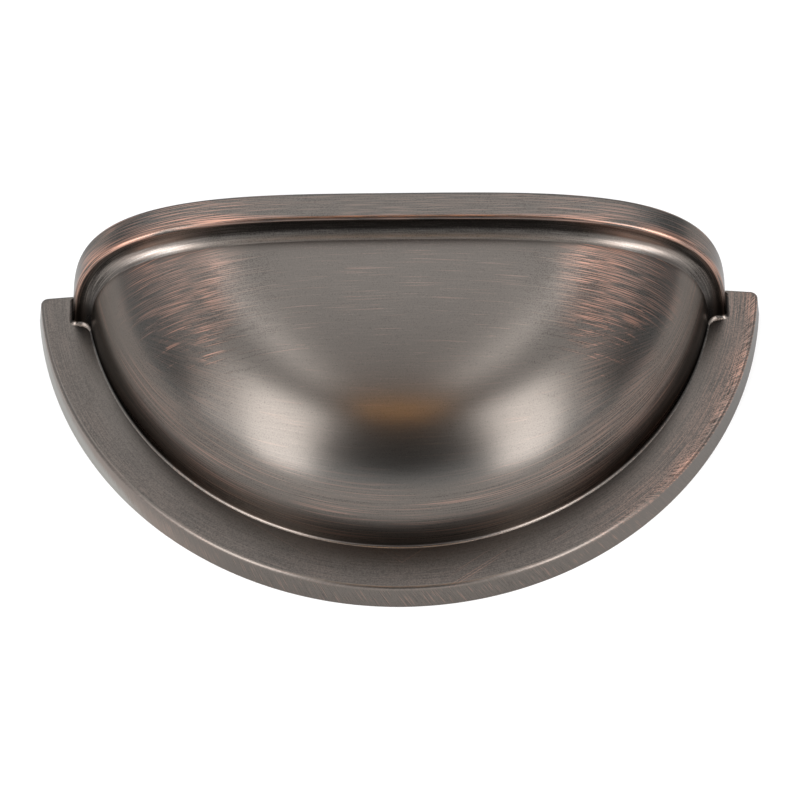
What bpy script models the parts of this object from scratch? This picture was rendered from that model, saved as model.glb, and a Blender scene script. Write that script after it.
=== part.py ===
"""Cup pull for a drawer: one die-cast piece, lying on the flat back that meets the drawer front.

A bowl-like hood rises from a crescent flange. The hood is turned about an axis that stands on the
back, and the opening plane cuts it off a little short of that axis. A proud lip runs round the
opening. Behind, the hood is hollow, with two drilled posts for the screws.

Metres, +Z out of the drawer front, +Y towards the opening. The origin is on the back, in the
middle of the box that holds the part.
"""

from math import acos, atan2, cos, pi, radians, sin, sqrt, tan

import bmesh
import bpy

MM = 0.001

# Flange
FLANGE_RADIUS = 43.6 * MM
FLANGE_WIDTH = 6.0 * MM
FLANGE_THICKNESS = 3.65 * MM
FLANGE_DRAFT = 0.4 * MM
FLANGE_EDGE_RADIUS = 0.45 * MM
FLANGE_CORNER_RADIUS = 0.8 * MM
FLANGE_END_SLOPE = radians(4.5)
FLANGE_END_EDGE = 0.3 * MM  # how far the front edge at each end is eased back
FLANGE_END_PROUD = 0.25 * MM  # how far each end stands past the opening plane

# Opening plane, measured from the axis that the hood and the flange are turned about
OPENING_FROM_AXIS = 2.85 * MM

# Hood
HOOD_HEIGHT = 22.7 * MM
HOOD_FULLNESS = 3.35  # exponent of the section: 2 is an ellipse, and a larger one is squarer
HOOD_WALL = 2.2 * MM
FOOT_FILLET = 0.3 * MM

# Lip round the opening
LIP_PROUD_FRONT = 2.88 * MM
LIP_PROUD_SIDE = 1.7 * MM  # at the back
LIP_FULLNESS = 3.55  # like HOOD_FULLNESS
LIP_SIDE_DRAFT = radians(3.0)
LIP_THICKNESS = 3.7 * MM
LIP_EDGE_RADIUS = 0.5 * MM
LIP_FILLET = 1.2 * MM
LIP_FOOT_FILLET = 0.5 * MM
MOUTH_RADIUS = 0.7 * MM

# Screw posts
HOLE_SPACING = 64.0 * MM
HOLE_FROM_OPENING = 9.5 * MM
HOLE_RADIUS = 1.75 * MM
HOLE_DEPTH = 8.0 * MM
HOLE_CHAMFER = 0.35 * MM
POST_RADIUS = 3.8 * MM
POST_DRAFT = 0.3 * MM
DRILL_POINT_ANGLE = radians(118)
DRILL_TIP_RADIUS = 0.035 * MM

# Facets
TURN_STEPS = 144
SECTION_STEPS = 16
ARCH_STEPS = 84
ROUND_STEPS = 4
POST_STEPS = 32
SHARP_ANGLE = radians(35)
POLE_ANGLE = 89.4  # where a bowl's section stops, just short of the axis, in degrees
GROOVE_START = 12  # where the lip's fillet starts, short of lying flat on the hood, in degrees
FOOT_START = 80  # where a foot fillet starts, short of lying flat on the flange, in degrees
MOUTH_START = 15
MOUTH_END = 80
HALVINGS = 40  # how finely a section's outline is searched for

# How far a shape reaches into or past the one that it joins or cuts
SINK = 0.3 * MM
REACH = 2.0 * MM

# Sizes that follow
HOOD_RADIUS = FLANGE_RADIUS - FLANGE_WIDTH
HOLLOW_RADIUS = HOOD_RADIUS - HOOD_WALL
HOLLOW_HEIGHT = HOOD_HEIGHT - HOOD_WALL
LIP_HALF_WIDTH = HOOD_RADIUS + LIP_PROUD_SIDE
LIP_HEIGHT = HOOD_HEIGHT + LIP_PROUD_FRONT
AXIS_Y = (FLANGE_RADIUS + OPENING_FROM_AXIS - FLANGE_END_PROUD) / 2
OPENING_Y = AXIS_Y - OPENING_FROM_AXIS
HOLE_Y = OPENING_Y - HOLE_FROM_OPENING
LIP_FOOT_ANGLE = 1.2 * atan2(FLANGE_THICKNESS + LIP_FOOT_FILLET, LIP_HALF_WIDTH)

BRONZE_COLOUR = (0.085, 0.072, 0.066, 1.0)


def clear_scene():
    for thing in list(bpy.data.objects):
        bpy.data.objects.remove(thing)


def bronze():
    material = bpy.data.materials.new("oil_rubbed_bronze")
    material.use_nodes = True
    shader = material.node_tree.nodes["Principled BSDF"]
    shader.inputs["Base Color"].default_value = BRONZE_COLOUR
    shader.inputs["Metallic"].default_value = 1.0
    shader.inputs["Roughness"].default_value = 0.38
    return material


def solid(name, rings):
    """An object whose skin joins each ring of points to the next and closes both ends."""
    mesh = bmesh.new()
    loops = [[mesh.verts.new(point) for point in ring] for ring in rings]
    count = len(loops[0])
    for lower, upper in zip(loops, loops[1:]):
        for i in range(count):
            j = (i + 1) % count
            mesh.faces.new((lower[i], lower[j], upper[j], upper[i]))
    mesh.faces.new(list(reversed(loops[0])))
    mesh.faces.new(loops[-1])
    bmesh.ops.recalc_face_normals(mesh, faces=mesh.faces[:])
    data = bpy.data.meshes.new(name)
    mesh.to_mesh(data)
    mesh.free()
    thing = bpy.data.objects.new(name, data)
    bpy.context.scene.collection.objects.link(thing)
    return thing


def turned(name, profile, centre, steps):
    """A solid of revolution about a vertical axis. The profile lists (radius, z) from the bottom up."""
    turns = [2 * pi * i / steps for i in range(steps)]
    x, y = centre
    return solid(name, [[(x + r * cos(t), y + r * sin(t), z) for t in turns] for r, z in profile])


def helper(thing):
    thing.hide_render = True
    thing.display_type = "WIRE"
    return thing


def combine(target, operation, tool):
    modifier = target.modifiers.new(f"{operation.lower()} {tool.name}", "BOOLEAN")
    modifier.operation = operation
    modifier.solver = "EXACT"
    modifier.object = helper(tool)


def quarter(first, last, steps=ROUND_STEPS):
    """Angles from first to last degrees, for a rounded edge."""
    return [radians(first + (last - first) * i / steps) for i in range(steps + 1)]


def bowl_profile(radius, height, lowest):
    """Half the section of a bowl as (radius, z), up to the point just beside its axis."""
    angles = quarter(0, POLE_ANGLE, SECTION_STEPS)
    points = []
    for a in angles:
        reach = (cos(a) ** HOOD_FULLNESS + sin(a) ** HOOD_FULLNESS) ** (-1 / HOOD_FULLNESS)
        points.append((radius * reach * cos(a), height * reach * sin(a)))
    return [(radius, lowest)] + [(r, z) for r, z in points if z > lowest]


def bowl_arch(radius, height, angle, y):
    """The point at this polar angle on a bowl's section by the plane at y, and the way out from it."""
    depth = (AXIS_Y - y) / radius
    low, high = 0.0, 2 * radius
    for _ in range(HALVINGS):
        r = (low + high) / 2
        across, up = r * cos(angle) / radius, r * sin(angle) / height
        inside = (across**2 + depth**2) ** (HOOD_FULLNESS / 2) + up**HOOD_FULLNESS < 1
        low, high = (r, high) if inside else (low, r)
    spread = (across**2 + depth**2) ** (HOOD_FULLNESS / 2 - 1)
    out = (across * spread / radius, up ** (HOOD_FULLNESS - 1) / height)
    return (r * cos(angle), r * sin(angle)), unit(out)


def lip_arch(angle):
    """The point at this polar angle on the lip's outline, and the way out from it.

    The sides are spread towards the back by their draft, and the way out turns with them.
    """
    n = LIP_FULLNESS
    draft = tan(LIP_SIDE_DRAFT)
    half_width = LIP_HALF_WIDTH - draft * LIP_HEIGHT
    c, s = abs(cos(angle)) / half_width, sin(angle) / LIP_HEIGHT
    r = (c**n + s**n) ** (-1 / n)
    side = 1 if cos(angle) > 0 else -1
    z = r * sin(angle)
    x = r * abs(cos(angle)) + draft * (LIP_HEIGHT - z)
    out_x, out_z = c ** (n - 1) / half_width, s ** (n - 1) / LIP_HEIGHT
    return (side * x, z), unit((side * out_x, out_z + draft * out_x))


def unit(vector):
    length = sqrt(vector[0] ** 2 + vector[1] ** 2)
    return (vector[0] / length, vector[1] / length)


def arch_ring(outline, y, offset, first=0.0):
    """One ring of a loft along Y: the outline from one polar angle over to the other, moved out."""
    ring = []
    for i in range(ARCH_STEPS + 1):
        (x, z), (out_x, out_z) = outline(first + (pi - 2 * first) * i / ARCH_STEPS, y)
        ring.append((x + out_x * offset, y, z + out_z * offset))
    return ring


def foot_ring(outline, y, offset, fillet, facing):
    """A ring that stands on the flange, spread by its foot fillet the way that its wall faces."""
    top = FLANGE_THICKNESS + fillet
    levels = [FLANGE_THICKNESS / 2]
    for a in quarter(FOOT_START, 0):
        levels.append(top - fillet * sin(a))
    foot = []
    for level in levels:
        (x, _z), _out = outline(atan2(level, LIP_HALF_WIDTH), y)
        (x, z), (out_x, out_z) = outline(atan2(level, x), y)
        drop = min(max((top - z) / fillet, 0.0), sin(radians(FOOT_START)))
        spread = fillet * (1 - sqrt(1 - drop**2))
        foot.append((x + out_x * offset + facing[0] * spread, y + facing[1] * spread, z + out_z * offset))
    arch = arch_ring(outline, y, offset, LIP_FOOT_ANGLE)
    return foot + arch + [(-x, y_, z) for x, y_, z in reversed(foot)]


def make_flange():
    """A D-shaped plate with drafted sides, a rounded front edge and rounded corners."""
    rows = [(0.0, 0.0, 0.0)]
    for a in quarter(0, 90):
        side_inset = FLANGE_DRAFT + FLANGE_EDGE_RADIUS * (1 - cos(a))
        z = FLANGE_THICKNESS - FLANGE_EDGE_RADIUS * (1 - sin(a))
        rows.append((side_inset, FLANGE_END_EDGE * (1 - cos(a)), z))
    return solid("flange", [[(x, y, z) for x, y in plate_outline(*ins)] for *ins, z in rows])


def plate_outline(side_inset, end_inset):
    """The flange seen from the front: the long arc, and at each end a corner and a sloping edge."""
    radius = FLANGE_RADIUS - side_inset
    end_y = OPENING_Y + FLANGE_END_PROUD - end_inset
    corner = FLANGE_CORNER_RADIUS
    slope = FLANGE_END_SLOPE
    edge = LIP_HALF_WIDTH * sin(slope) + (end_y - AXIS_Y) * cos(slope) - corner
    along = sqrt((radius - corner) ** 2 - edge**2)
    corner_x = edge * sin(slope) + along * cos(slope)
    corner_y = AXIS_Y + edge * cos(slope) - along * sin(slope)
    half_angle = acos((AXIS_Y - corner_y) / (radius - corner))
    right = []
    for i in range(ARCH_STEPS // 2 + 1):
        a = half_angle * 2 * i / ARCH_STEPS
        right.append((radius * sin(a), AXIS_Y - radius * cos(a)))
    for i in range(1, ROUND_STEPS + 1):
        a = half_angle + (pi - slope - half_angle) * i / ROUND_STEPS
        right.append((corner_x + corner * sin(a), corner_y - corner * cos(a)))
    right.append((LIP_HALF_WIDTH, end_y))
    return right + [(-x, y) for x, y in reversed(right[1:])]


def make_hood():
    """The bowl, solid as yet, with a fillet where it stands on the flange. It ends inside the lip."""
    profile = bowl_profile(HOOD_RADIUS, HOOD_HEIGHT, FLANGE_THICKNESS + FOOT_FILLET)
    fillet = []
    for a in quarter(FOOT_START, 0):
        out = HOOD_RADIUS + FOOT_FILLET * (1 - cos(a))
        fillet.append((out, FLANGE_THICKNESS + FOOT_FILLET * (1 - sin(a))))
    skirt = (fillet[0][0], FLANGE_THICKNESS / 2)
    hood = turned("hood", [skirt] + fillet[:-1] + profile, (0, AXIS_Y), TURN_STEPS)
    combine(hood, "DIFFERENCE", box("past_hood", OPENING_Y - LIP_THICKNESS / 2))
    return hood


def box(name, y):
    """A block that covers everything beyond the plane at y."""
    side, top = FLANGE_RADIUS + REACH, LIP_HEIGHT + REACH
    far = y + 2 * FLANGE_RADIUS
    corners = [(-side, y), (side, y), (side, far), (-side, far)]
    return solid(name, [[(x, y_, z) for x, y_ in corners] for z in (-REACH, top)])


def make_lip():
    """The band round the opening, lofted along Y, with a fillet where it leaves the hood."""

    def on_hood(angle, y):
        return bowl_arch(HOOD_RADIUS, HOOD_HEIGHT, angle, y)

    def on_lip(angle, _y):
        return lip_arch(angle)

    under = OPENING_Y - LIP_THICKNESS
    rings = [foot_ring(on_hood, under - LIP_FILLET, -SINK, FOOT_FILLET, (1, 0))]
    for a in quarter(GROOVE_START, 90, ROUND_STEPS + 1):
        y = under - LIP_FILLET * (1 - sin(a))
        out = LIP_FILLET * (1 - cos(a))
        foot = FOOT_FILLET + (LIP_FOOT_FILLET - FOOT_FILLET) * sin(a)
        rings.append(foot_ring(on_hood, y, out, foot, (cos(a), -sin(a))))
    for a in quarter(0, 90):
        y = under + LIP_EDGE_RADIUS * (1 - cos(a))
        out = -LIP_EDGE_RADIUS * (1 - sin(a))
        rings.append(foot_ring(on_lip, y, out, LIP_FOOT_FILLET, (sin(a), -cos(a))))
    for a in quarter(0, 90):
        y = OPENING_Y - LIP_EDGE_RADIUS * (1 - sin(a))
        out = -LIP_EDGE_RADIUS * (1 - cos(a))
        rings.append(foot_ring(on_lip, y, out, LIP_FOOT_FILLET, (cos(a), 0)))
    return solid("lip", rings)


def make_hollow():
    """What is scooped out of the hood from behind, all but the two posts."""
    profile = [(HOLLOW_RADIUS, -REACH)] + bowl_profile(HOLLOW_RADIUS, HOLLOW_HEIGHT, 0.0)
    hollow = turned("hollow", profile, (0, AXIS_Y), TURN_STEPS)
    for side in (-1, 1):
        slope = POST_DRAFT / HOOD_HEIGHT
        ends = (-2 * REACH, HOOD_HEIGHT)
        profile = [(POST_RADIUS + slope * z, z) for z in ends]
        name = "post_right" if side > 0 else "post_left"
        post = turned(name, profile, (side * HOLE_SPACING / 2, HOLE_Y), POST_STEPS)
        combine(hollow, "DIFFERENCE", post)
    return hollow


def make_mouth():
    """The rounding of the hollow's edge at the opening."""

    def on_hollow(angle, y):
        return bowl_arch(HOLLOW_RADIUS, HOLLOW_HEIGHT, angle, y)

    first = atan2(FLANGE_THICKNESS / 2, LIP_HALF_WIDTH)
    rings = [arch_ring(on_hollow, OPENING_Y - MOUTH_RADIUS, -SINK, first)]
    for a in quarter(MOUTH_START, MOUTH_END):
        y = OPENING_Y - MOUTH_RADIUS * (1 - sin(a))
        rings.append(arch_ring(on_hollow, y, MOUTH_RADIUS * (1 - cos(a)), first))
    rings.append([(x, y + REACH, z) for x, y, z in rings[-1]])
    for ring in rings:
        x, y, _z = ring[0]
        ring.insert(0, (x, y, -REACH))
        ring.append((-x, y, -REACH))
    return solid("mouth", rings)


def make_drill(side):
    """A blind hole with a chamfered mouth and a drill point."""
    profile = [
        (HOLE_RADIUS + HOLE_CHAMFER + REACH, -REACH),
        (HOLE_RADIUS, HOLE_CHAMFER),
        (HOLE_RADIUS, HOLE_DEPTH),
        (DRILL_TIP_RADIUS, HOLE_DEPTH + (HOLE_RADIUS - DRILL_TIP_RADIUS) / tan(DRILL_POINT_ANGLE / 2)),
    ]
    name = "drill_right" if side > 0 else "drill_left"
    return turned(name, profile, (side * HOLE_SPACING / 2, HOLE_Y), POST_STEPS)


def make_cup_pull():
    pull = make_flange()
    pull.name = "cup_pull"
    pull.data.materials.append(bronze())
    combine(pull, "UNION", make_hood())
    combine(pull, "UNION", make_lip())
    combine(pull, "DIFFERENCE", make_hollow())
    combine(pull, "DIFFERENCE", make_mouth())
    for side in (-1, 1):
        combine(pull, "DIFFERENCE", make_drill(side))
    pull.data.shade_smooth()
    pull.data.set_sharp_from_angle(angle=SHARP_ANGLE)
    return pull


clear_scene()
make_cup_pull()
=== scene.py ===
"""The looks of the cup pull: one die-cast piece in brushed, oil-rubbed bronze, in a plain studio.

The forms of the solid are made again with fine facets, from the same sizes, and take the place of
the faceted node. Each form has its own finish: the hood is brushed from side to side, the lip along
its arch, and the flange has a fine grain and hatching at its rim. The patina is rubbed through to
copper on the hood's shoulders and along the edges.

Metres, +Z out of the drawer front, +Y towards the opening. Patterns are laid out in millimetres.
"""

from math import acos, atan2, cos, pi, radians, sin, sqrt, tan

import bmesh
import bpy
from mathutils import Matrix, Vector

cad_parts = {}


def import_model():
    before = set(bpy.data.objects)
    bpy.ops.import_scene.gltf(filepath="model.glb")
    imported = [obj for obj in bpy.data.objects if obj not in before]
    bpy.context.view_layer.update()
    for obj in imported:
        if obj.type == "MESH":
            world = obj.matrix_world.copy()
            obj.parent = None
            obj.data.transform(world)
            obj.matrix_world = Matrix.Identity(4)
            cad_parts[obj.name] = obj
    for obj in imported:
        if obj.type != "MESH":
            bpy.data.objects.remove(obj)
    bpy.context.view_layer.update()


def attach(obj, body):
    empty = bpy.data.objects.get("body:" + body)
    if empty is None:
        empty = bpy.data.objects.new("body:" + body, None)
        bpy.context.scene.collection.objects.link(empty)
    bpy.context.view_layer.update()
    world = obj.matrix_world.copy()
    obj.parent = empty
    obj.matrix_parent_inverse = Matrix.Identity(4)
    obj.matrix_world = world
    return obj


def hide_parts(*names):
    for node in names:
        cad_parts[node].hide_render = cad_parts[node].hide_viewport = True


MM = 0.001
MICROMETRE = MM / 1000

# Flange
FLANGE_RADIUS = 43.6 * MM
FLANGE_WIDTH = 6.0 * MM
FLANGE_THICKNESS = 3.65 * MM
FLANGE_DRAFT = 0.4 * MM
FLANGE_EDGE_RADIUS = 0.45 * MM
FLANGE_CORNER_RADIUS = 0.8 * MM
FLANGE_END_SLOPE = radians(4.5)
FLANGE_END_EDGE = 0.3 * MM
FLANGE_END_PROUD = 0.25 * MM

# Hood and opening
OPENING_FROM_AXIS = 2.85 * MM
HOOD_HEIGHT = 22.7 * MM
HOOD_FULLNESS = 3.35
HOOD_WALL = 2.2 * MM
FOOT_FILLET = 0.3 * MM

# Lip round the opening
LIP_PROUD_FRONT = 2.88 * MM
LIP_PROUD_SIDE = 1.7 * MM
LIP_FULLNESS = 3.55
LIP_SIDE_DRAFT = radians(3.0)
LIP_THICKNESS = 3.7 * MM
LIP_EDGE_RADIUS = 0.5 * MM
LIP_FILLET = 1.2 * MM
LIP_FOOT_FILLET = 0.5 * MM
MOUTH_RADIUS = 0.7 * MM

# Screw posts
HOLE_SPACING = 64.0 * MM
HOLE_FROM_OPENING = 9.5 * MM
HOLE_RADIUS = 1.75 * MM
HOLE_DEPTH = 8.0 * MM
HOLE_CHAMFER = 0.35 * MM
POST_RADIUS = 3.8 * MM
POST_DRAFT = 0.3 * MM
DRILL_POINT_ANGLE = radians(118)
DRILL_TIP_RADIUS = 0.035 * MM

# Facets, fewer while trying things
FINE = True
TURN_STEPS = 360 if FINE else 180
SECTION_STEPS = 56 if FINE else 28
ARCH_STEPS = 320 if FINE else 160
ROUND_STEPS = 8 if FINE else 5
POST_STEPS = 72 if FINE else 36
SHARP_ANGLE = radians(32)

# How far a shape reaches into or past the one that it joins or cuts
SINK = 0.3 * MM
REACH = 2.0 * MM

# Where a fillet starts and ends, short of lying flat on the surface that it leaves, in degrees
FOOT_START = 84
GROOVE_START = 7
MOUTH_END = 80
POLE_ANGLE = 89.4
HALVINGS = 40

# Sizes that follow
HOOD_RADIUS = FLANGE_RADIUS - FLANGE_WIDTH
HOLLOW_RADIUS = HOOD_RADIUS - HOOD_WALL
HOLLOW_HEIGHT = HOOD_HEIGHT - HOOD_WALL
LIP_HALF_WIDTH = HOOD_RADIUS + LIP_PROUD_SIDE
LIP_HEIGHT = HOOD_HEIGHT + LIP_PROUD_FRONT
AXIS_Y = (FLANGE_RADIUS + OPENING_FROM_AXIS - FLANGE_END_PROUD) / 2
OPENING_Y = AXIS_Y - OPENING_FROM_AXIS
HOLE_Y = OPENING_Y - HOLE_FROM_OPENING
# The polar angle at which a ring of the lip leaves its foot and follows the arch
LIP_FOOT_ANGLE = 1.1 * atan2(FLANGE_THICKNESS + LIP_FOOT_FILLET, LIP_HALF_WIDTH)

# The finish is laid out in millimetres. These are the cells of its cloudy patterns in a millimetre.
GRAIN = 7.0
WANDER = 0.05
HOOD_PATCHES = 0.16
FLANGE_PATCHES = 0.2
INSIDE_PATCHES = 0.25
INSIDE_GRAIN = 3.0

# Brushing of the hood: straight across above, and below in a fan about one line
FAN_Y = 13.0
FAN_Z = 11.5
FAN_RADIUS = 12.0
FAN_TOP = 0.75  # the angle above which the hood is brushed straight across, in radians
FAN_BLEND = 0.12  # how far to each side of that angle the two ways of brushing mix
FAN_RAGGEDNESS = 1.6  # how far single strokes reach past it, times a noise
BRUSH_BOW = 0.0022  # how far the strokes above bend towards -Y, times the square of x
TURN_RADIUS = 30.0  # makes lengths of the angles round the hood and the lip
INWARD_RADIUS = 28.0  # makes lengths of the shares of the way in from the lip's outline

# Strokes: their length, their width and a seed
FINE_ABOVE = (4.0, 0.085, 0.0)
FINE_BELOW = (5.0, 0.085, 3.0)
LONG_ABOVE = (8.0, 0.13, 6.0)
LONG_BELOW = (9.0, 0.15, 5.0)
FAN_EDGE = (4.0, 0.4, 9.0)
HOOD_AROUND = (12.0, 0.14, 4.0)
LIP_ALONG = (5.0, 0.11, 3.0)
RIM_HATCHING = (1.5, 0.12, 1.0)
WALL_STROKES = (3.0, 0.13, 2.0)
FLANGE_AROUND = (6.0, 0.13, 8.0)
FLANGE_SCRATCHES = (25.0, 0.12, 7.0)
HATCH_ANGLE = radians(35)
WALL_LEAN = 0.45  # how far the strokes on the flange's wall lean over, times their height
SCRATCH_LEAN = 0.7

# Where a pattern of the hood starts and where it is full. Four places say where it starts, is full,
# starts to fade and ends. The last word of a name is what they are measured along: X, Y, Z or
# across, which is the distance from the middle plane.
FLANGE_TOP = FLANGE_THICKNESS / MM
FLANGE_RIM = (FLANGE_RADIUS - FLANGE_DRAFT) / MM
GROOVE_Y = (OPENING_Y - LIP_THICKNESS - LIP_FILLET) / MM
SHOULDER_ACROSS = (17.0, 25.0, 29.5, 33.5)
SHADE_ACROSS = (12.0, 17.0, 21.0, 25.0)
BRUSHED_ACROSS = (33.0, 28.0)
SIDE_ACROSS = (12.0, 33.0)
HOOD_RIGHT_X = (-10.0, 10.0)
HOOD_GROOVE_Y = (GROOVE_Y - 1.8, GROOVE_Y)
HOOD_LOW_Z = (16.0, 10.0)
HOOD_SHADE_RIGHT_X = (12.0, 26.0)
HOOD_SCRATCHED_Z = (FLANGE_TOP, 6.0)
HOOD_FOOT_SHADE_Z = (8.0, FLANGE_TOP + 0.5)
HOOD_GLINT_Z = (FLANGE_TOP + 0.5, FLANGE_TOP + 0.2)
HOOD_GLINT_Y = (GROOVE_Y - 1.0, GROOVE_Y - 2.5)
HOOD_GLINT_ACROSS = (52.0, 18.0)

# The same on the lip. Its skin is measured from the edge under its outer band: above 0 out on the
# band, and below 0 on the way in to the groove. Where the copper ends depends on the corner.
CORNER_ACROSS = (12.0, 24.0)
CORNER_Z = (7.0, 15.0)
CORNER_LEFT_X = (10.0, -10.0)
COPPER_Z = (5.0, 12.0)
COPPER_SKIN = (-0.7, 0.0, 0.25)
LOOSE_SKIN = (-0.3, 0.3)
GROOVE_SKIN = (-0.4, -1.6)
UNDER_LIP_SHADE_SKIN = (-3.4, -2.2, -0.9, -0.2)
LIP_END_SHADE_Z = (9.0, 5.0)
LIP_GLINT_Z = (FLANGE_TOP + 0.6, FLANGE_TOP + 0.3)
LIP_GLINT_SKIN = (0.4, -0.4)
GROOVE_GLINT_SKIN = (-0.9, -1.7)
GROOVE_GLINT_ACROSS = (21.0, 27.0)
GROOVE_GLINT_Z = (13.0, 20.0)

# The same on the flange. Turn is the way round its arc from the middle, and reach is the distance
# from the hood's axis. The hatching comes in from the rim by its width.
ENDS_TURN = (15.0, 50.0)
RIGHT_TURN = (18.0, 42.0)
WALL_REFLECTION_TURN = (60.0, -10.0)
SCRATCH_TURN = (40.0, 25.0)
WALL_Z = (FLANGE_TOP - 0.25, FLANGE_TOP - 0.6)
WALL_REFLECTION_Z = (FLANGE_TOP, 0.0)
FLANGE_GLINT_Z = (FLANGE_TOP + 0.03, FLANGE_TOP + 0.2)
FLANGE_GLINT_ACROSS = (56.0, 18.0)
EDGE_REACH = (FLANGE_RIM - 0.5, FLANGE_RIM - 0.1)
HAZE_REACH = (FLANGE_RIM - 6.0, FLANGE_RIM)
FOOT_LIGHT_REACH = (FLANGE_RIM - 1.5, FLANGE_RIM - 5.5)
HATCHED_WIDTH_LEFT = 0.4
HATCHED_WIDTH_RIGHT = 1.9

# Colours of the metal, scene linear. The darkest also paints shade, and the two palest also paint light
# and highlights
PATINA = (0.147, 0.130, 0.117, 1.0)
RUBBED_AND_LIT = (0.235, 0.195, 0.172, 1.0)
DARK_PATINA_AND_SHADE = (0.040, 0.035, 0.032, 1.0)
SILVER_AND_GLINT = (0.36, 0.35, 0.33, 1.0)
COPPER = (0.50, 0.275, 0.205, 1.0)
GRAZING = (0.75, 0.75, 0.75, 1.0)  # how bright the metal gets at a glancing angle

# Tone of each form where no pattern lies, on the scale that Finish.finish explains, and its gloss
HOOD_TONE = 0.48
LIP_TONE = 0.38
FLANGE_TONE = 0.30
INSIDE_TONE = 0.35
HOOD_ROUGHNESS = 0.28
LIP_ROUGHNESS = 0.29
FLANGE_ROUGHNESS = 0.31
INSIDE_ROUGHNESS = 0.47
HOOD_ANISOTROPY = 0.45
LIP_ANISOTROPY = 0.3
ALONG_X = (1.0, 0.0, 0.0)

# Camera: where it stands, what it aims at, and where the photograph shows that point
CAMERA_DISTANCE = 0.4984
CAMERA_FROM_VERTICAL = radians(32.7)
CAMERA_ROLL = radians(0.56)
FOCAL_PIXELS = 4121
PICTURE_WIDTH = 800
SENSOR_WIDTH = 36.0
AIM_COLUMN = 399.4  # the middle of the back's edge below the opening, in the picture
AIM_ROW = 310.7

# Light of the studio room, where 1 is white
LEFT_LIGHT = 0.62
RIGHT_LIGHT = 0.42
OVERHEAD_LIGHT = 0.86
BEHIND_LIGHT = 0.8
DARK_LIGHT = 0.06
LOW_LIGHT = 0.45
LOW_LIGHT_DROP = 0.6  # how far the low light's top comes down towards the sides
SIDE_COLOUR = (0.90, 1.0, 1.07, 1.0)
OVERHEAD_COLOUR = (0.98, 1.0, 1.02, 1.0)

# Lamps, with their angles as from_sphere takes them, in degrees
SOFTBOX_AZIMUTH = 42.5
SOFTBOX_SHIFT = 0.9  # how far both softboxes are turned towards +X
SOFTBOX_ELEVATION = 31.5
SOFTBOX_DISTANCE = 1.0
SOFTBOX_SIZE = (0.345, 1.2)
SOFTBOX_RADIANCE = 5.0
SOFTBOX_LEAN = radians(-12)
WING_AZIMUTH = 62
WING_ELEVATION = 32
WING_DISTANCE = 1.02
WING_SIZE = (0.36, 0.95)
LEFT_WING_RADIANCE = 1.9
RIGHT_WING_RADIANCE = 1.0
LEFT_STRIP_NEAR_X = 0.23
RIGHT_STRIP_NEAR_X = 0.17
STRIP_NEAR_Y = -0.1
STRIP_FAR_X = 0.5
STRIP_FAR_Y = 0.53
STRIP_HEIGHT = 1.0
STRIP_WIDTH = 0.08
STRIP_RADIANCE = 4.2
WARM_ELEVATION = 72
WARM_DISTANCE = 0.8
WARM_SIZE = (0.26, 0.04)
WARM_RADIANCE = 7.0
WARM_COLOUR = (1.0, 0.5, 0.12)
WHITE = (1.0, 1.0, 1.0)

# Floor
FLOOR_HALF = 3.0
FLOOR_GAP = 0.02 * MM
FLOOR_PAINT = (0.4, 0.4, 0.4, 1.0)
FLOOR_ROUGHNESS = 0.9
FLOOR_GLOW = 0.65


# The forms


def solid(name, rings):
    """An object whose skin joins each ring of points to the next and closes both ends."""
    mesh = bmesh.new()
    loops = [[mesh.verts.new(point) for point in ring] for ring in rings]
    count = len(loops[0])
    for lower, upper in zip(loops, loops[1:]):
        for i in range(count):
            j = (i + 1) % count
            mesh.faces.new((lower[i], lower[j], upper[j], upper[i]))
    mesh.faces.new(list(reversed(loops[0])))
    mesh.faces.new(loops[-1])
    bmesh.ops.recalc_face_normals(mesh, faces=mesh.faces[:])
    data = bpy.data.meshes.new(name)
    mesh.to_mesh(data)
    mesh.free()
    thing = bpy.data.objects.new(name, data)
    bpy.context.scene.collection.objects.link(thing)
    return thing


def turned(name, profile, centre, steps):
    """A solid of revolution about a vertical axis. The profile lists (radius, z) from the bottom up."""
    turns = [2 * pi * i / steps for i in range(steps)]
    x, y = centre
    return solid(name, [[(x + r * cos(t), y + r * sin(t), z) for t in turns] for r, z in profile])


def combine(target, operation, tool):
    """Joins or cuts the target with the tool, keeps each face's own material, and drops the tool."""
    modifier = target.modifiers.new(tool.name, "BOOLEAN")
    modifier.operation = operation
    modifier.solver = "EXACT"
    modifier.material_mode = "TRANSFER"
    modifier.object = tool
    evaluated = target.evaluated_get(bpy.context.evaluated_depsgraph_get())
    result = bpy.data.meshes.new_from_object(evaluated)
    target.modifiers.clear()
    target.data = result
    bpy.data.objects.remove(tool)


def quarter(first, last, steps=ROUND_STEPS):
    """Angles from first to last degrees, for a rounded edge."""
    return [radians(first + (last - first) * i / steps) for i in range(steps + 1)]


def bowl_profile(radius, height, lowest):
    """Half the section of a bowl as (radius, z), up to the point just beside its axis."""
    points = []
    for a in quarter(0, POLE_ANGLE, SECTION_STEPS):
        reach = (cos(a) ** HOOD_FULLNESS + sin(a) ** HOOD_FULLNESS) ** (-1 / HOOD_FULLNESS)
        points.append((radius * reach * cos(a), height * reach * sin(a)))
    return [(radius, lowest)] + [(r, z) for r, z in points if z > lowest]


def bowl_arch(radius, height, angle, y):
    """The point at this polar angle on a bowl's section by the plane at y, and the way out from it."""
    depth = (AXIS_Y - y) / radius
    low, high = 0.0, 2 * radius
    for _ in range(HALVINGS):
        r = (low + high) / 2
        across, up = r * cos(angle) / radius, r * sin(angle) / height
        inside = (across**2 + depth**2) ** (HOOD_FULLNESS / 2) + up**HOOD_FULLNESS < 1
        low, high = (r, high) if inside else (low, r)
    spread = (across**2 + depth**2) ** (HOOD_FULLNESS / 2 - 1)
    out = (across * spread / radius, up ** (HOOD_FULLNESS - 1) / height)
    return (r * cos(angle), r * sin(angle)), unit(out)


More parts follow.
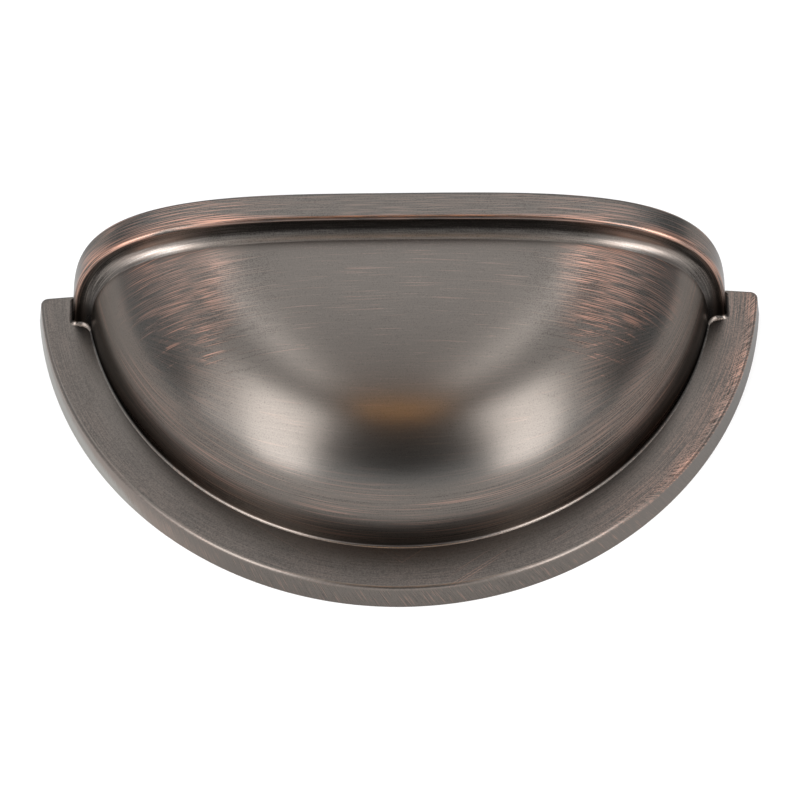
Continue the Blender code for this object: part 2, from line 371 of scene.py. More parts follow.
def lip_arch(angle):
    """The point at this polar angle on the lip's outline, and the way out from it.

    The sides are spread towards the back by their draft, and the way out turns with them.
    """
    n = LIP_FULLNESS
    draft = tan(LIP_SIDE_DRAFT)
    half_width = LIP_HALF_WIDTH - draft * LIP_HEIGHT
    c, s = abs(cos(angle)) / half_width, sin(angle) / LIP_HEIGHT
    r = (c**n + s**n) ** (-1 / n)
    side = 1 if cos(angle) > 0 else -1
    z = r * sin(angle)
    x = r * abs(cos(angle)) + draft * (LIP_HEIGHT - z)
    out_x, out_z = c ** (n - 1) / half_width, s ** (n - 1) / LIP_HEIGHT
    return (side * x, z), unit((side * out_x, out_z + draft * out_x))


def unit(vector):
    """The same way with a length of 1."""
    length = sqrt(vector[0] ** 2 + vector[1] ** 2)
    return (vector[0] / length, vector[1] / length)


def arch_ring(outline, y, offset, first=0.0):
    """One ring of a loft along Y: the outline from one polar angle over to the other, moved out."""
    ring = []
    for i in range(ARCH_STEPS + 1):
        (x, z), (out_x, out_z) = outline(first + (pi - 2 * first) * i / ARCH_STEPS, y)
        ring.append((x + out_x * offset, y, z + out_z * offset))
    return ring


def foot_ring(outline, y, offset, fillet, facing):
    """A ring that stands on the flange, spread by its foot fillet the way that its wall faces."""
    top = FLANGE_THICKNESS + fillet
    levels = [FLANGE_THICKNESS / 2]
    for a in quarter(FOOT_START, 0):
        levels.append(top - fillet * sin(a))
    foot = []
    for level in levels:
        # The outline at this height, found in two steps
        (x, _z), _out = outline(atan2(level, LIP_HALF_WIDTH), y)
        (x, z), (out_x, out_z) = outline(atan2(level, x), y)
        drop = min(max((top - z) / fillet, 0.0), sin(radians(FOOT_START)))
        spread = fillet * (1 - sqrt(1 - drop**2))
        foot.append((x + out_x * offset + facing[0] * spread, y + facing[1] * spread, z + out_z * offset))
    arch = arch_ring(outline, y, offset, LIP_FOOT_ANGLE)
    return foot + arch + [(-x, y_, z) for x, y_, z in reversed(foot)]


def make_flange():
    """A D-shaped plate with drafted sides, a rounded front edge and rounded corners."""
    rows = [(0.0, 0.0, 0.0)]
    for a in quarter(0, 90):
        side_inset = FLANGE_DRAFT + FLANGE_EDGE_RADIUS * (1 - cos(a))
        z = FLANGE_THICKNESS - FLANGE_EDGE_RADIUS * (1 - sin(a))
        rows.append((side_inset, FLANGE_END_EDGE * (1 - cos(a)), z))
    return solid("flange", [[(x, y, z) for x, y in plate_outline(side, end)] for side, end, z in rows])


def plate_outline(side_inset, end_inset):
    """The flange seen from the front: the long arc, and at each end a corner and a sloping edge."""
    radius = FLANGE_RADIUS - side_inset
    end_y = OPENING_Y + FLANGE_END_PROUD - end_inset
    corner = FLANGE_CORNER_RADIUS
    slope = FLANGE_END_SLOPE
    edge = LIP_HALF_WIDTH * sin(slope) + (end_y - AXIS_Y) * cos(slope) - corner
    along = sqrt((radius - corner) ** 2 - edge**2)
    corner_x = edge * sin(slope) + along * cos(slope)
    corner_y = AXIS_Y + edge * cos(slope) - along * sin(slope)
    half_angle = acos((AXIS_Y - corner_y) / (radius - corner))
    right = []
    for i in range(ARCH_STEPS // 2 + 1):
        a = half_angle * 2 * i / ARCH_STEPS
        right.append((radius * sin(a), AXIS_Y - radius * cos(a)))
    for i in range(1, ROUND_STEPS + 1):
        a = half_angle + (pi - slope - half_angle) * i / ROUND_STEPS
        right.append((corner_x + corner * sin(a), corner_y - corner * cos(a)))
    right.append((LIP_HALF_WIDTH, end_y))
    return right + [(-x, y) for x, y in reversed(right[1:])]


def make_hood():
    """The bowl, solid as yet, with a fillet where it stands on the flange. It ends inside the lip."""
    profile = bowl_profile(HOOD_RADIUS, HOOD_HEIGHT, FLANGE_THICKNESS + FOOT_FILLET)
    fillet = []
    for a in quarter(FOOT_START, 0):
        out = HOOD_RADIUS + FOOT_FILLET * (1 - cos(a))
        fillet.append((out, FLANGE_THICKNESS + FOOT_FILLET * (1 - sin(a))))
    skirt = (fillet[0][0], FLANGE_THICKNESS / 2)
    hood = turned("hood", [skirt] + fillet[:-1] + profile, (0, AXIS_Y), TURN_STEPS)
    combine(hood, "DIFFERENCE", box("past_hood", OPENING_Y - LIP_THICKNESS / 2))
    return hood


def box(name, y):
    """A block that covers everything beyond the plane at y."""
    side, top = FLANGE_RADIUS + REACH, LIP_HEIGHT + REACH
    far = y + 2 * FLANGE_RADIUS
    corners = [(-side, y), (side, y), (side, far), (-side, far)]
    return solid(name, [[(x, y_, z) for x, y_ in corners] for z in (-REACH, top)])


def make_lip():
    """The band round the opening, lofted along Y, with a fillet where it leaves the hood."""

    def on_hood(angle, y):
        return bowl_arch(HOOD_RADIUS, HOOD_HEIGHT, angle, y)

    def on_lip(angle, _y):
        return lip_arch(angle)

    under = OPENING_Y - LIP_THICKNESS
    rings = [foot_ring(on_hood, under - LIP_FILLET, -SINK, FOOT_FILLET, (1, 0))]
    for a in quarter(GROOVE_START, 90, ROUND_STEPS + 2):
        y = under - LIP_FILLET * (1 - sin(a))
        out = LIP_FILLET * (1 - cos(a))
        foot = FOOT_FILLET + (LIP_FOOT_FILLET - FOOT_FILLET) * sin(a)
        rings.append(foot_ring(on_hood, y, out, foot, (cos(a), -sin(a))))
    for a in quarter(0, 90):
        y = under + LIP_EDGE_RADIUS * (1 - cos(a))
        out = -LIP_EDGE_RADIUS * (1 - sin(a))
        rings.append(foot_ring(on_lip, y, out, LIP_FOOT_FILLET, (sin(a), -cos(a))))
    for a in quarter(0, 90):
        y = OPENING_Y - LIP_EDGE_RADIUS * (1 - sin(a))
        out = -LIP_EDGE_RADIUS * (1 - cos(a))
        rings.append(foot_ring(on_lip, y, out, LIP_FOOT_FILLET, (cos(a), 0)))
    return solid("lip", rings)


def make_hollow():
    """What is scooped out of the hood from behind, all but the two posts."""
    profile = [(HOLLOW_RADIUS, -REACH)] + bowl_profile(HOLLOW_RADIUS, HOLLOW_HEIGHT, 0.0)
    hollow = turned("hollow", profile, (0, AXIS_Y), TURN_STEPS)
    slope = POST_DRAFT / HOOD_HEIGHT
    profile = [(POST_RADIUS + slope * z, z) for z in (-2 * REACH, HOOD_HEIGHT)]
    for side in (-1, 1):
        post = turned("post", profile, (side * HOLE_SPACING / 2, HOLE_Y), POST_STEPS)
        combine(hollow, "DIFFERENCE", post)
    return hollow


def make_mouth():
    """The rounding of the hollow's edge at the opening."""

    def on_hollow(angle, y):
        return bowl_arch(HOLLOW_RADIUS, HOLLOW_HEIGHT, angle, y)

    first = atan2(FLANGE_THICKNESS / 2, LIP_HALF_WIDTH)
    rings = [arch_ring(on_hollow, OPENING_Y - MOUTH_RADIUS, -SINK, first)]
    for a in quarter(GROOVE_START, MOUTH_END):
        y = OPENING_Y - MOUTH_RADIUS * (1 - sin(a))
        rings.append(arch_ring(on_hollow, y, MOUTH_RADIUS * (1 - cos(a)), first))
    rings.append([(x, y + REACH, z) for x, y, z in rings[-1]])
    for ring in rings:
        x, y, _z = ring[0]
        ring.insert(0, (x, y, -REACH))
        ring.append((-x, y, -REACH))
    return solid("mouth", rings)


def make_drill(side):
    """A blind hole with a chamfered mouth and a drill point."""
    profile = [
        (HOLE_RADIUS + HOLE_CHAMFER + REACH, -REACH),
        (HOLE_RADIUS, HOLE_CHAMFER),
        (HOLE_RADIUS, HOLE_DEPTH),
        (DRILL_TIP_RADIUS, HOLE_DEPTH + (HOLE_RADIUS - DRILL_TIP_RADIUS) / tan(DRILL_POINT_ANGLE / 2)),
    ]
    return turned("drill", profile, (side * HOLE_SPACING / 2, HOLE_Y), POST_STEPS)


def make_pull():
    """The whole casting, with the finish of each form on the faces that it gives."""
    finishes = {
        "flange": flange_finish(),
        "hood": hood_finish(),
        "lip": lip_finish(),
        "inside": inside_finish(),
    }

    def finished(thing, finish):
        thing.data.materials.clear()
        thing.data.materials.append(finishes[finish])
        return thing

    pull = finished(make_flange(), "flange")
    pull.name = "cup_pull_finish"
    combine(pull, "UNION", finished(make_hood(), "hood"))
    combine(pull, "UNION", finished(make_lip(), "lip"))
    combine(pull, "DIFFERENCE", finished(make_hollow(), "inside"))
    combine(pull, "DIFFERENCE", finished(make_mouth(), "inside"))
    for side in (-1, 1):
        combine(pull, "DIFFERENCE", finished(make_drill(side), "inside"))
    pull.data.shade_smooth()
    pull.data.set_sharp_from_angle(angle=SHARP_ANGLE)
    even = pull.modifiers.new("even_normals", "WEIGHTED_NORMAL")
    even.keep_sharp = True
    return pull


# The finish. A number in its patterns is a share of the whole or a level of a noise round 0, and
# in a height it is micrometres.


class Finish:
    """A new metal material, with a short call for each kind of node that its pattern is made of."""

    def __init__(self, name):
        self.material = bpy.data.materials.new(name)
        self.material.use_nodes = True
        self.tree = self.material.node_tree
        self.shader = self.tree.nodes["Principled BSDF"]
        self.shader.inputs["Metallic"].default_value = 1.0
        place = self.tree.nodes.new("ShaderNodeTexCoord").outputs["Object"]
        split = self.add("ShaderNodeSeparateXYZ", place)
        self.x, self.y, self.z = [self.math("DIVIDE", out, MM) for out in split.outputs]
        self.place = self.vector(self.x, self.y, self.z)
        self.depth = self.math("SUBTRACT", AXIS_Y / MM, self.y)
        self.across = self.math("ABSOLUTE", self.x)

    def feed(self, socket, value):
        if isinstance(value, bpy.types.NodeSocket):
            self.tree.links.new(value, socket)
        else:
            socket.default_value = value

    def add(self, kind, *values):
        node = self.tree.nodes.new(kind)
        for socket, value in zip(node.inputs, values):
            self.feed(socket, value)
        return node

    def math(self, operation, *values):
        node = self.add("ShaderNodeMath", *values)
        node.operation = operation
        return node.outputs[0]

    def chain(self, operation, first, *others):
        for other in others:
            first = self.math(operation, first, other)
        return first

    def product(self, *values):
        return self.chain("MULTIPLY", *values)

    def total(self, *values):
        return self.chain("ADD", *values)

    def vector(self, x, y, z):
        return self.add("ShaderNodeCombineXYZ", x, y, z).outputs[0]

    def rise(self, value, low, high):
        """0 below low and 1 above high, with a smooth step between. It falls if high is below low."""
        node = self.add("ShaderNodeMapRange", value, low, high, 0.0, 1.0)
        node.interpolation_type = "SMOOTHSTEP"
        return node.outputs[0]

    def noise(self, vector, scale=1.0, detail=2.0, roughness=0.5):
        node = self.tree.nodes.new("ShaderNodeTexNoise")
        self.feed(node.inputs["Vector"], vector)
        node.inputs["Scale"].default_value = scale
        node.inputs["Detail"].default_value = detail
        node.inputs["Roughness"].default_value = roughness
        return node.outputs["Fac"]

    def band(self, value, start, full, fade, end):
        """1 from full to fade, and 0 before the start and past the end, with smooth steps between."""
        return self.product(self.rise(value, start, full), self.rise(value, end, fade))

    def grain(self):
        """The fine grain of the casting, which swings round 0."""
        return self.off_middle(self.noise(self.place, GRAIN, 1.0))

    def strokes(self, along, across, length, width, seed):
        """Streaks of about this length and width, in millimetres."""
        place = self.vector(self.math("DIVIDE", along, length), self.math("DIVIDE", across, width), seed)
        return self.noise(place, detail=1.0)

    def off_middle(self, noise):
        """A noise shifted to swing round 0."""
        return self.math("SUBTRACT", noise, 0.5)

    def blend(self, share, first, second):
        """The first value where the share is 0, and the second where it is 1."""
        return self.total(first, self.product(share, self.math("SUBTRACT", second, first)))

    def rest(self, share):
        """What the share leaves of the whole."""
        return self.math("SUBTRACT", 1.0, share)

    def weigh(self, base, *parts):
        """The base value with each pattern added to it. A part is a pattern and how much it counts."""
        return self.total(base, *[self.product(pattern, amount) for pattern, amount in parts])

    def mix(self, factor, first, second):
        node = self.tree.nodes.new("ShaderNodeMix")
        node.data_type = "RGBA"
        self.feed(node.inputs["Factor"], factor)
        self.feed(node.inputs["A"], first)
        self.feed(node.inputs["B"], second)
        return node.outputs["Result"]

    def tangent_across(self, way):
        """The direction in the surface that lies square to this way, so gloss spreads across strokes."""
        normal = self.tree.nodes.new("ShaderNodeNewGeometry").outputs["Normal"]
        node = self.add("ShaderNodeVectorMath", normal, way)
        node.operation = "CROSS_PRODUCT"
        return node.outputs[0]

    def finish(self, copper, tone, height, roughness, anisotropy=0.0, tangent=None, grazing_dark_and_shade=0.0):
        """Links the pattern to the shader.

        Copper is how far the patina is rubbed through, tone is 0 for the darkest patina and painted
        shade, 0.5 for the patina, 1 for metal rubbed pale and for painted light, and 1.5 for silver and
        painted highlights, and height is the relief in micrometres. The last value darkens the gloss at a
        glancing angle, mostly as painted shade.
        """
        dark = self.mix(self.rise(tone, 0.0, 0.5), DARK_PATINA_AND_SHADE, PATINA)
        shade = self.mix(self.rise(tone, 0.5, 1.0), dark, RUBBED_AND_LIT)
        shade = self.mix(self.rise(tone, 1.0, 1.5), shade, SILVER_AND_GLINT)
        self.feed(self.shader.inputs["Specular Tint"], self.mix(grazing_dark_and_shade, GRAZING, DARK_PATINA_AND_SHADE))
        self.feed(self.shader.inputs["Base Color"], self.mix(copper, shade, COPPER))
        self.feed(self.shader.inputs["Roughness"], roughness)
        bump = self.tree.nodes.new("ShaderNodeBump")
        bump.inputs["Distance"].default_value = MICROMETRE
        self.feed(bump.inputs["Height"], height)
        self.feed(self.shader.inputs["Normal"], bump.outputs["Normal"])
        self.shader.inputs["Anisotropic"].default_value = anisotropy
        if tangent is not None:
            self.feed(self.shader.inputs["Tangent"], tangent)
        return self.material


def hood_finish():
    """Brushed across above, in a fan below, and rubbed through to copper on both shoulders, with painted
    shade at the foot, the sides and low on the right, and painted light along the foot and the groove.
    """
    f = Finish("hood_bronze")
    turn = f.math("ARCTAN2", f.math("SUBTRACT", f.z, FAN_Z), f.math("SUBTRACT", FAN_Y, f.y))
    wander = f.noise(f.place, WANDER, 1.0)
    above = f.total(f.y, f.product(f.x, f.x, BRUSH_BOW), wander)
    below = f.total(f.product(turn, FAN_RADIUS), wander)
    above_fine = f.strokes(f.x, above, *FINE_ABOVE)
    below_fine = f.strokes(f.x, below, *FINE_BELOW)
    above_long = f.strokes(f.x, above, *LONG_ABOVE)
    below_long = f.strokes(f.x, below, *LONG_BELOW)
    ragged = f.product(f.off_middle(f.strokes(f.x, above, *FAN_EDGE)), FAN_RAGGEDNESS)
    upper = f.rise(f.total(turn, ragged), FAN_TOP - FAN_BLEND, FAN_TOP + FAN_BLEND)
    fine = f.off_middle(f.blend(upper, below_fine, f.blend(0.3, above_fine, above_long)))
    long = f.off_middle(f.blend(upper, below_long, above_long))
    grain = f.grain()
    reach = f.product(f.math("ARCTAN2", f.x, f.depth), TURN_RADIUS)
    around = f.off_middle(f.strokes(reach, f.z, *HOOD_AROUND))

    # Where the patterns lie
    side = f.rise(f.across, *SIDE_ACROSS)
    right = f.blend(f.rise(f.x, *HOOD_RIGHT_X), 0.8, 1.3)
    low = f.rise(f.z, *HOOD_LOW_Z)
    # Painted shade: the low part of the hood's right side is darker
    shaded_low_right = f.product(low, f.rise(f.x, *HOOD_SHADE_RIGHT_X))
    # By the groove the hood is less brushed, and paler as painted light
    groove = f.rise(f.y, *HOOD_GROOVE_Y)
    # Painted shade: darker where the hood stands on the flange, most at the sides
    foot = f.product(f.rise(f.z, *HOOD_FOOT_SHADE_Z), f.blend(side, 0.35, 1.0))
    # Painted highlight: a pale line along the fillet at the hood's foot
    line = f.product(f.rise(f.z, *HOOD_GLINT_Z), f.rise(f.y, *HOOD_GLINT_Y))
    line = f.product(line, f.rise(f.across, *HOOD_GLINT_ACROSS))
    shoulder = f.band(f.across, *SHOULDER_ACROSS)
    worn = f.product(shoulder, right, f.blend(upper, 0.12, 1.07))
    lower = f.product(shoulder, f.rest(upper))
    # Painted shade: a darker band 12 to 25 mm to each side of the middle, mostly up high
    inner = f.product(f.band(f.across, *SHADE_ACROSS), f.blend(upper, 0.2, 1.0))
    brushed = f.product(f.rise(f.across, *BRUSHED_ACROSS), f.blend(groove, 1.0, 0.2))
    patch = f.blend(f.rise(f.noise(f.place, HOOD_PATCHES), 0.40, 0.58), 0.5, 1.0)
    thin = f.product(f.rise(long, 0.13, 0.21), brushed)

    # What they do
    rubbed = f.product(f.total(0.05, f.rise(fine, 0.0, 0.10)), worn, patch, 1.1)
    scratches = f.product(low, f.rise(f.z, *HOOD_SCRATCHED_Z), f.rise(around, 0.08, 0.18), 0.35)
    pink = f.product(thin, f.blend(upper, 0.05, 0.14))
    copper = f.math("MINIMUM", f.total(rubbed, pink, scratches), 1.0)
    streaks = f.product(f.math("MAXIMUM", fine, -0.03), brushed)
    strength = f.weigh(0.5, (upper, 0.4), (worn, 2.2), (lower, -0.3))
    tone = f.weigh(
        HOOD_TONE,
        (worn, -0.05),
        (inner, -0.12),
        (streaks, strength),
        (f.product(around, low), 0.8),
        (thin, f.blend(upper, 0.03, 0.16)),
        (lower, -0.08),
        (grain, 0.6),
        (foot, -0.35),
        (line, 0.5),
        (groove, 0.15),
        (shaded_low_right, -0.12),
    )
    height = f.weigh(0.0, (fine, f.product(brushed, f.blend(worn, 0.5, 4.5))), (grain, 3.0))
    # The gloss is darkened at a glancing angle a little everywhere, and more at the sides and the foot as
    # painted shade
    grazing_dark_and_shade = f.weigh(0.2, (side, 0.3), (foot, 0.2))
    tangent = f.tangent_across(ALONG_X)
    return f.finish(copper, tone, height, HOOD_ROUGHNESS, HOOD_ANISOTROPY, tangent, grazing_dark_and_shade)


def lip_finish():
    """Brushed along the arch, with copper along the edge that fingers rub, painted shade under that edge
    and at the low ends, and painted highlights in the groove and along the foot.
    """
    f = Finish("lip_bronze")
    draft = tan(LIP_SIDE_DRAFT)
    spread = f.product(f.math("SUBTRACT", LIP_HEIGHT / MM, f.z), draft)
    half_width = f.total((LIP_HALF_WIDTH - draft * LIP_HEIGHT) / MM, spread)
    wide = f.math("POWER", f.math("DIVIDE", f.across, half_width), LIP_FULLNESS)
    high = f.math("POWER", f.math("DIVIDE", f.z, LIP_HEIGHT / MM), LIP_FULLNESS)
    ratio = f.math("POWER", f.total(wide, high), 1 / LIP_FULLNESS)
    inward = f.product(f.rest(ratio), INWARD_RADIUS)
    under = (OPENING_Y - LIP_THICKNESS) / MM
    skin = f.math("SUBTRACT", f.math("SUBTRACT", f.y, under), inward)
    turn = f.product(f.math("ARCTAN2", f.z, f.x), TURN_RADIUS)
    fine = f.off_middle(f.strokes(turn, skin, *LIP_ALONG))
    grain = f.grain()

    # Where the patterns lie
    left = f.blend(f.rise(f.x, *CORNER_LEFT_X), 0.55, 1.0)
    corner = f.product(f.rise(f.across, *CORNER_ACROSS), f.rise(f.z, *CORNER_Z), left)
    edge = f.product(f.band(skin, *COPPER_SKIN, f.blend(corner, 0.6, 2.0)), f.rise(f.z, *COPPER_Z))
    groove = f.rise(skin, *GROOVE_SKIN)
    # Painted shade under the outer band and on into the groove, less at the corners
    under_lip_shade = f.product(f.band(skin, *UNDER_LIP_SHADE_SKIN), f.blend(corner, 1.0, 0.6))
    # Painted shade low on the lip's ends, in the colour and in the gloss at a glancing angle
    end = f.rise(f.z, *LIP_END_SHADE_Z)
    # Painted highlight: a pale line along the fillet at the lip's foot
    line = f.product(f.rise(f.z, *LIP_GLINT_Z), f.rise(skin, *LIP_GLINT_SKIN))
    # Painted highlight in the groove towards the upper corners, where the gloss is also sharper
    bend = f.product(f.rise(skin, *GROOVE_GLINT_SKIN), f.rise(f.across, *GROOVE_GLINT_ACROSS), f.rise(f.z, *GROOVE_GLINT_Z))

    # What they do
    rubbed = f.product(edge, f.blend(corner, 0.5, 0.9), f.rise(fine, -0.10, 0.08))
    loose = f.product(f.rise(skin, *LOOSE_SKIN), f.blend(corner, 0.10, 0.60))
    thin = f.product(f.rise(fine, 0.02, 0.16), loose)
    copper = f.math("MINIMUM", f.total(rubbed, thin), 1.0)
    streaks = f.math("MAXIMUM", fine, -0.05)
    tone = f.weigh(
        LIP_TONE,
        (streaks, f.total(0.9, corner)),
        (grain, 0.5),
        (under_lip_shade, -0.3),
        (end, -0.5),
        (line, 1.2),
        (bend, 0.8),
    )
    height = f.weigh(0.0, (fine, f.blend(corner, 0.6, 1.4)), (grain, 1.5))
    roughness = f.weigh(LIP_ROUGHNESS, (groove, 0.12), (bend, -0.12))
    grazing_dark_and_shade = f.product(end, 0.8)
    return f.finish(copper, tone, height, roughness, LIP_ANISOTROPY, f.tangent_across(ALONG_X), grazing_dark_and_shade)


def flange_finish():
    """A fine grain, painted highlights on the edge and foot, hatched copper on the right rim, and slanting
    strokes and a painted reflection on the wall.
    """
    f = Finish("flange_bronze")
    length = f.add("ShaderNodeVectorMath", f.vector(f.x, f.depth, 0.0))
    length.operation = "LENGTH"
    reach = length.outputs["Value"]
    turn = f.product(f.math("ARCTAN2", f.x, f.depth), FLANGE_RADIUS / MM)
    side = f.math("ABSOLUTE", turn)
    grain = f.grain()
    slant = f.math("SUBTRACT", f.product(reach, cos(HATCH_ANGLE)), f.product(side, sin(HATCH_ANGLE)))
    hatch = f.off_middle(f.strokes(side, slant, *RIM_HATCHING))
    lean = f.total(turn, f.product(f.z, WALL_LEAN))
    wall = f.off_middle(f.strokes(f.z, lean, *WALL_STROKES))
    around = f.off_middle(f.strokes(turn, reach, *FLANGE_AROUND))
    cross = f.math("SUBTRACT", f.y, f.product(f.across, SCRATCH_LEAN))
    scratch = f.off_middle(f.strokes(f.total(f.x, f.y), cross, *FLANGE_SCRATCHES))

    # Where the patterns lie
    ends = f.rise(side, *ENDS_TURN)
    right = f.rise(turn, *RIGHT_TURN)
    on_wall = f.rise(f.z, *WALL_Z)
    on_face = f.rest(on_wall)
    # Painted highlight: a pale line along the fillet where the hood and lip stand, without copper
    line = f.product(f.rise(f.z, *FLANGE_GLINT_Z), f.rise(f.across, *FLANGE_GLINT_ACROSS))
    inner = f.blend(right, FLANGE_RIM - HATCHED_WIDTH_LEFT, FLANGE_RIM - HATCHED_WIDTH_RIGHT)
    at_rim = f.product(f.rise(reach, inner, EDGE_REACH[1]), on_face)
    # Painted highlight along the rounded front edge
    edge = f.product(f.rise(reach, *EDGE_REACH), on_face)
    haze = f.product(f.rise(reach, *HAZE_REACH), on_face, f.blend(right, 0.15, 1.0))
    # Painted reflection of the floor on the wall: paler everywhere, more at the ends and towards the
    # bottom, less on the right
    white = f.total(0.5, f.rise(f.z, *WALL_REFLECTION_Z))
    white = f.product(ends, white, f.rise(turn, *WALL_REFLECTION_TURN))
    patch = f.blend(f.rise(f.noise(f.place, FLANGE_PATCHES), 0.38, 0.62), 0.5, 1.0)

    # What they do
    hatched = f.rise(f.weigh(hatch, (grain, 0.4)), -0.06, 0.14)
    rubbed = f.product(at_rim, right, hatched, patch, 0.55)
    hazy = f.product(haze, f.rise(f.weigh(around, (grain, 0.5)), -0.15, 0.25), patch, 0.4)
    streaks = f.product(on_wall, f.rise(wall, 0.12, 0.22), f.rise(ends, 0.8, 0.2), 0.35)
    marks = f.product(on_face, f.rise(scratch, 0.19, 0.25), f.rise(side, *SCRATCH_TURN), 0.35)
    copper = f.math("MINIMUM", f.total(rubbed, hazy, streaks, marks), 1.0)
    copper = f.product(copper, f.rest(line))
    at_edge = f.product(hatch, at_rim, f.total(0.5, right))
    strokes = f.total(at_edge, f.product(wall, on_wall, 0.5), f.product(around, on_face, 0.22))
    tone = f.weigh(
        FLANGE_TONE,
        (on_wall, f.total(0.10, white)),
        (edge, 0.4),
        # Painted light: the face grows paler towards the hood
        (f.rise(reach, *FOOT_LIGHT_REACH), 0.10),
        (line, 0.35),
        (grain, 0.35),
        (strokes, 1.0),
    )
    height = f.product(f.total(grain, strokes), 1.5)
    return f.finish(copper, tone, height, FLANGE_ROUGHNESS)


def inside_finish():
    """The back of the casting: the same patina, unbrushed and duller."""
    f = Finish("inside_bronze")
    grain = f.off_middle(f.noise(f.place, INSIDE_GRAIN, 4.0, 0.6))
    patches = f.off_middle(f.noise(f.place, INSIDE_PATCHES))
    tone = f.weigh(INSIDE_TONE, (patches, 0.8), (grain, 0.3))
    return f.finish(0.0, tone, f.product(grain, 20.0), INSIDE_ROUGHNESS)


# The studio


def floor():
    """A large white floor. It shows white to the camera and in the metal, and keeps the shadow."""
    data = bpy.data.meshes.new("floor")
    half = FLOOR_HALF
    corners = [(-half, -half, 0), (half, -half, 0), (half, half, 0), (-half, half, 0)]
    data.from_pydata(corners, [], [(0, 1, 2, 3)])
    thing = bpy.data.objects.new("floor", data)
    bpy.context.scene.collection.objects.link(thing)
    thing.location.z = -FLOOR_GAP
    material = bpy.data.materials.new("white_floor")
    material.use_nodes = True
    tree = material.node_tree
    paint = tree.nodes["Principled BSDF"]
    paint.inputs["Base Color"].default_value = FLOOR_PAINT
    paint.inputs["Roughness"].default_value = FLOOR_ROUGHNESS
    paint.inputs["Specular IOR Level"].default_value = 0.0
    paint.inputs["Emission Color"].default_value = (*WHITE, 1.0)
    path = tree.nodes.new("ShaderNodeLightPath").outputs
    seen = path["Is Camera Ray"]
    for ray in ("Is Glossy Ray", "Is Transmission Ray"):
        either = tree.nodes.new("ShaderNodeMath")
        either.operation = "MAXIMUM"
        tree.links.new(seen, either.inputs[0])
        tree.links.new(path[ray], either.inputs[1])
        seen = either.outputs[0]
    strength = tree.nodes.new("ShaderNodeMath")
    strength.operation = "MULTIPLY"
    strength.inputs[1].default_value = FLOOR_GLOW
    tree.links.new(seen, strength.inputs[0])
    tree.links.new(strength.outputs[0], paint.inputs["Emission Strength"])
    data.materials.append(material)


def softbox(name, place, size, radiance, colour=WHITE, lean=0.0):
    """A rectangular lamp that faces the pull, turned by its lean about the line between them."""
    lamp = bpy.data.lights.new(name, "AREA")
    lamp.shape = "RECTANGLE"
    lamp.size, lamp.size_y = size
    lamp.color = colour
    lamp.energy = radiance * pi * size[0] * size[1]
    thing = bpy.data.objects.new(name, lamp)
    bpy.context.scene.collection.objects.link(thing)
    thing.location = place
    thing.rotation_mode = "QUATERNION"
    facing = Vector(place).to_track_quat("Z", "Y")
    thing.rotation_quaternion = facing @ Matrix.Rotation(lean, 3, "Z").to_quaternion()
    return thing


def strip(name, start, end, width, radiance):
    """A narrow lamp along a line under the ceiling, facing down."""
    along = Vector(end) - Vector(start)
    thing = softbox(name, (Vector(start) + Vector(end)) / 2, (width, along.length), radiance)
    thing.rotation_quaternion = Matrix.Rotation(atan2(-along.x, along.y), 3, "Z").to_quaternion()


def from_sphere(azimuth, elevation, distance):
    """A point round the pull. Azimuth 0 is towards the camera and 90 towards +X, in degrees."""
    a, e = radians(azimuth), radians(elevation)
    return (distance * sin(a) * cos(e), -distance * cos(a) * cos(e), distance * sin(e))


def lamps():
    """A tall softbox, its dimmer wing and a ceiling strip on each side, and the warm lamp above."""
    left = (-1, LEFT_WING_RADIANCE, LEFT_STRIP_NEAR_X)
    right = (1, RIGHT_WING_RADIANCE, RIGHT_STRIP_NEAR_X)
    for side, wing_radiance, near_x in (left, right):
        lean = side * SOFTBOX_LEAN
        azimuth = side * SOFTBOX_AZIMUTH + SOFTBOX_SHIFT
        place = from_sphere(azimuth, SOFTBOX_ELEVATION, SOFTBOX_DISTANCE)
        softbox("softbox", place, SOFTBOX_SIZE, SOFTBOX_RADIANCE, lean=lean)
        place = from_sphere(side * WING_AZIMUTH, WING_ELEVATION, WING_DISTANCE)
        softbox("softbox_wing", place, WING_SIZE, wing_radiance, lean=lean)
        start = (side * near_x, STRIP_NEAR_Y, STRIP_HEIGHT)
        end = (side * STRIP_FAR_X, STRIP_FAR_Y, STRIP_HEIGHT)
        strip("ceiling_strip", start, end, STRIP_WIDTH, STRIP_RADIANCE)
    place = from_sphere(0, WARM_ELEVATION, WARM_DISTANCE)
    softbox("warm_lamp", place, WARM_SIZE, WARM_RADIANCE, WARM_COLOUR)


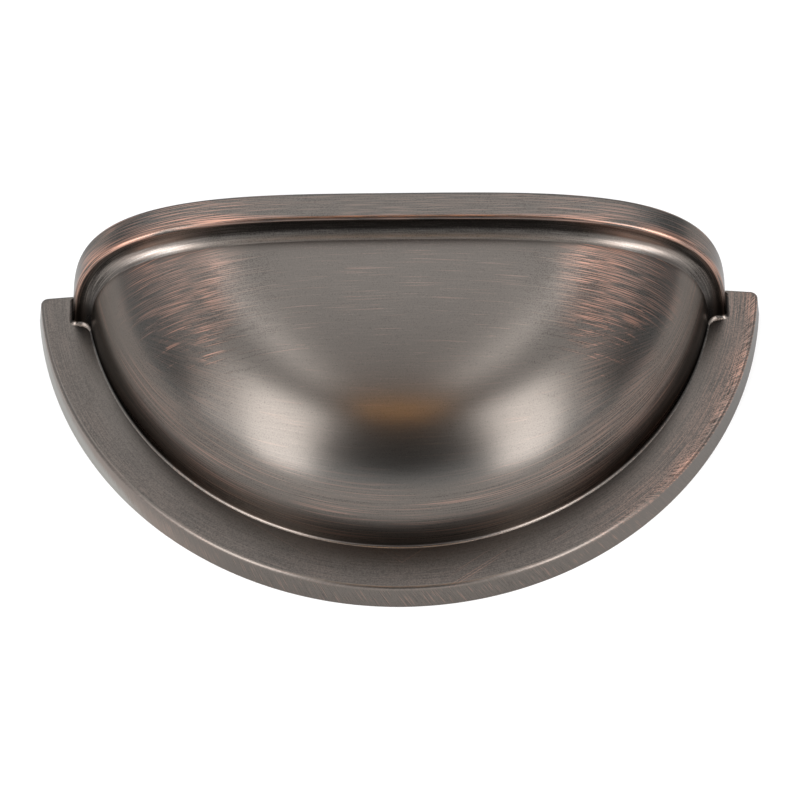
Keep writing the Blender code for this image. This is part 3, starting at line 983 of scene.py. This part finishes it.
def world():
    """A studio room: grey all round, paler overhead and behind, and dark round the camera.

    The light of a direction depends on how far it points along X, Y and Z, each from -1 to 1.
    """
    room = bpy.data.worlds.new("studio")
    room.use_nodes = True
    tree = room.node_tree
    way = tree.nodes.new("ShaderNodeTexCoord").outputs["Generated"]
    split = tree.nodes.new("ShaderNodeSeparateXYZ")
    tree.links.new(way, split.inputs[0])
    x, y, z = split.outputs

    def feed(socket, value):
        if isinstance(value, bpy.types.NodeSocket):
            tree.links.new(value, socket)
        else:
            socket.default_value = value

    def step(value, low, high, bottom=0.0, top=1.0):
        """The bottom value below low and the top value above high, with a smooth step between."""
        node = tree.nodes.new("ShaderNodeMapRange")
        node.interpolation_type = "SMOOTHSTEP"
        for socket, number in zip(node.inputs, (value, low, high, bottom, top)):
            feed(socket, number)
        return node.outputs[0]

    def math(operation, first, second):
        node = tree.nodes.new("ShaderNodeMath")
        node.operation = operation
        feed(node.inputs[0], first)
        feed(node.inputs[1], second)
        return node.outputs[0]

    sides = step(x, -0.5, 0.5, LEFT_LIGHT, RIGHT_LIGHT)
    level = step(z, 0.45, 0.8, sides, OVERHEAD_LIGHT)
    behind = math("MULTIPLY", step(y, 0.1, 0.6, 0.0, BEHIND_LIGHT), step(z, 0.3, 0.6))
    grey = math("ADD", level, behind)
    height = math("SUBTRACT", z, math("MULTIPLY", math("ABSOLUTE", x, 0.0), LOW_LIGHT_DROP))
    low = math("MULTIPLY", step(height, 0.34, 0.06), step(y, -0.2, -0.7, 0.0, LOW_LIGHT))
    clear = math("MAXIMUM", step(y, -0.34, 0.1), step(z, 0.32, 0.08))
    total = math("ADD", low, step(clear, 0.0, 1.0, DARK_LIGHT, grey))
    tree.links.new(total, tree.nodes["Background"].inputs["Strength"])
    tint = tree.nodes.new("ShaderNodeMix")
    tint.data_type = "RGBA"
    for name, value in (("Factor", step(z, 0.35, 0.8)), ("A", SIDE_COLOUR), ("B", OVERHEAD_COLOUR)):
        feed(tint.inputs[name], value)
    tree.links.new(tint.outputs["Result"], tree.nodes["Background"].inputs["Color"])
    bpy.context.scene.world = room


def camera():
    """A long lens that looks down on the pull as the photograph does."""
    lens = bpy.data.cameras.new("camera")
    lens.sensor_width = SENSOR_WIDTH
    lens.lens = FOCAL_PIXELS / PICTURE_WIDTH * SENSOR_WIDTH
    thing = bpy.data.objects.new("camera", lens)
    bpy.context.scene.collection.objects.link(thing)
    target = Vector((0, OPENING_Y, 0))
    back = Vector((0, -sin(CAMERA_FROM_VERTICAL), cos(CAMERA_FROM_VERTICAL)))
    thing.location = target + back * CAMERA_DISTANCE
    straight = back.to_track_quat("Z", "Y").to_matrix()
    roll = Matrix.Rotation(-CAMERA_ROLL, 3, "Z")
    tilt = Matrix.Rotation(-atan2(PICTURE_WIDTH / 2 - AIM_ROW, FOCAL_PIXELS), 3, "X")
    pan = Matrix.Rotation(-atan2(PICTURE_WIDTH / 2 - AIM_COLUMN, FOCAL_PIXELS), 3, "Y")
    thing.rotation_mode = "QUATERNION"
    thing.rotation_quaternion = (straight @ roll @ pan @ tilt).to_quaternion()
    bpy.context.scene.camera = thing


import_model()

camera()
floor()
world()
lamps()

pull = make_pull()
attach(pull, "root")
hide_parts("cup_pull")

bpy.context.scene.view_settings.view_transform = "Standard"
